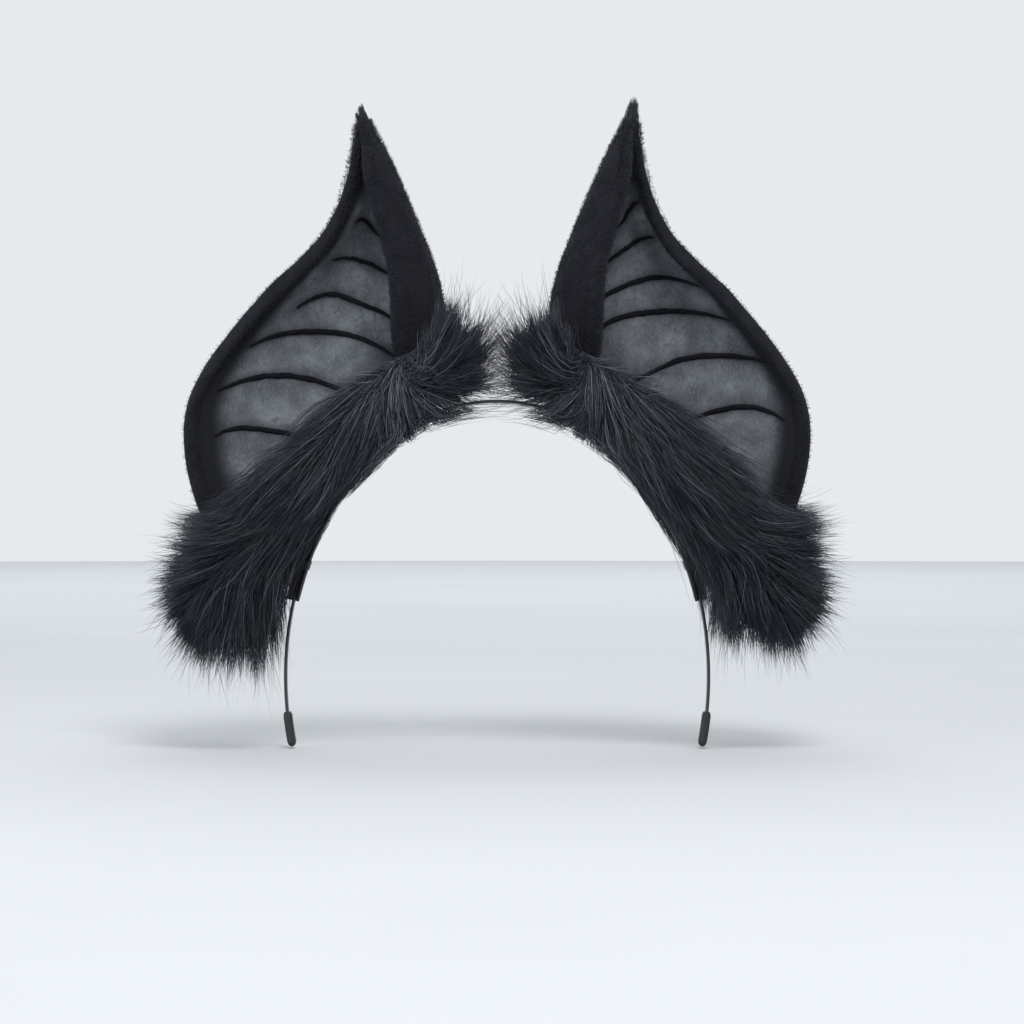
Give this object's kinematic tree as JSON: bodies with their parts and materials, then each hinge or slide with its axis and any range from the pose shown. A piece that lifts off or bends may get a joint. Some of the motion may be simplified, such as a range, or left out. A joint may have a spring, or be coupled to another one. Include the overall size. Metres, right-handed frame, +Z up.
{
  "type": "costume ears headband",
  "caption": "Costume headband with cupped, pointed, ribbed fabric ears and long-pile fur cuffs on a thin sprung band worn over the head.",
  "frame": {"origin": "underside of the band at the crown, on the centre plane, where it sits on the head", "axes": "+Z up, the front of the ears faces -Y, +X is the wearer's left; left and right in node names are the wearer's"},
  "size_m": [0.2634, 0.0799, 0.2692],
  "materials": {
    "lacquered_steel": "satin black lacquer",
    "cap_rubber": "matt black rubber",
    "base_felt": "pressed black felt",
    "thread": "waxed black thread",
    "plush": "short-pile black plush",
    "foam_core": "bonded wadding",
    "lining_felt": "mottled grey felt, airbrushed black at the border",
    "shaping_wire": "bare soft wire",
    "rib_felt": "black felt cord",
    "long_fur": "long-pile black faux fur with a blue-grey sheen"
  },
  "bodies": {
    "crown": {"band_crown": "lacquered_steel"},
    "left_arm": {"left_band_arm": "lacquered_steel", "left_tip_cap": "cap_rubber", "left_base_pad": "base_felt", "left_under_pad": "base_felt", "left_thread_inner": "thread", "left_thread_outer": "thread", "left_base_seam": "thread"},
    "left_ear": {"left_ear_base": "base_felt", "left_ear_cover": "plush", "left_ear_core": "foam_core", "left_ear_lining": "lining_felt", "left_ear_hem": "plush", "left_ear_wire": "shaping_wire", "left_rib_1": "rib_felt", "left_rib_2": "rib_felt", "left_rib_3": "rib_felt", "left_rib_4": "rib_felt", "left_rib_5": "rib_felt", "left_rib_6": "rib_felt", "left_fur_front": "long_fur", "left_fur_back": "long_fur", "left_tip_tuft": "long_fur"},
    "right_arm": {"right_band_arm": "lacquered_steel", "right_tip_cap": "cap_rubber", "right_base_pad": "base_felt", "right_under_pad": "base_felt", "right_thread_inner": "thread", "right_thread_outer": "thread", "right_base_seam": "thread"},
    "right_ear": {"right_ear_base": "base_felt", "right_ear_cover": "plush", "right_ear_core": "foam_core", "right_ear_lining": "lining_felt", "right_ear_hem": "plush", "right_ear_wire": "shaping_wire", "right_rib_1": "rib_felt", "right_rib_2": "rib_felt", "right_rib_3": "rib_felt", "right_rib_4": "rib_felt", "right_rib_5": "rib_felt", "right_rib_6": "rib_felt", "right_fur_front": "long_fur", "right_fur_back": "long_fur", "right_tip_tuft": "long_fur"}
  },
  "joints": [
    {"name": "left_arm_spring", "type": "hinge", "parent": "crown", "child": "left_arm", "pos_m": [0.01425, 0, -0.0008], "axis": [0, -1, 0], "range_deg": [0, 9], "stiffness_Nm_per_rad": 4},
    {"name": "right_arm_spring", "type": "hinge", "parent": "crown", "child": "right_arm", "pos_m": [-0.01425, 0, -0.0008], "axis": [0, 1, 0], "range_deg": [0, 9], "stiffness_Nm_per_rad": 4},
    {"name": "left_ear_tilt", "type": "hinge", "parent": "left_arm", "child": "left_ear", "pos_m": [0.06115, 0, -0.03735], "axis": [0.6011, 0, -0.7992], "range_deg": [-8, 8]},
    {"name": "right_ear_tilt", "type": "hinge", "parent": "right_arm", "child": "right_ear", "pos_m": [-0.06115, 0, -0.03735], "axis": [0.6011, 0, 0.7992], "range_deg": [-8, 8]}
  ]
}
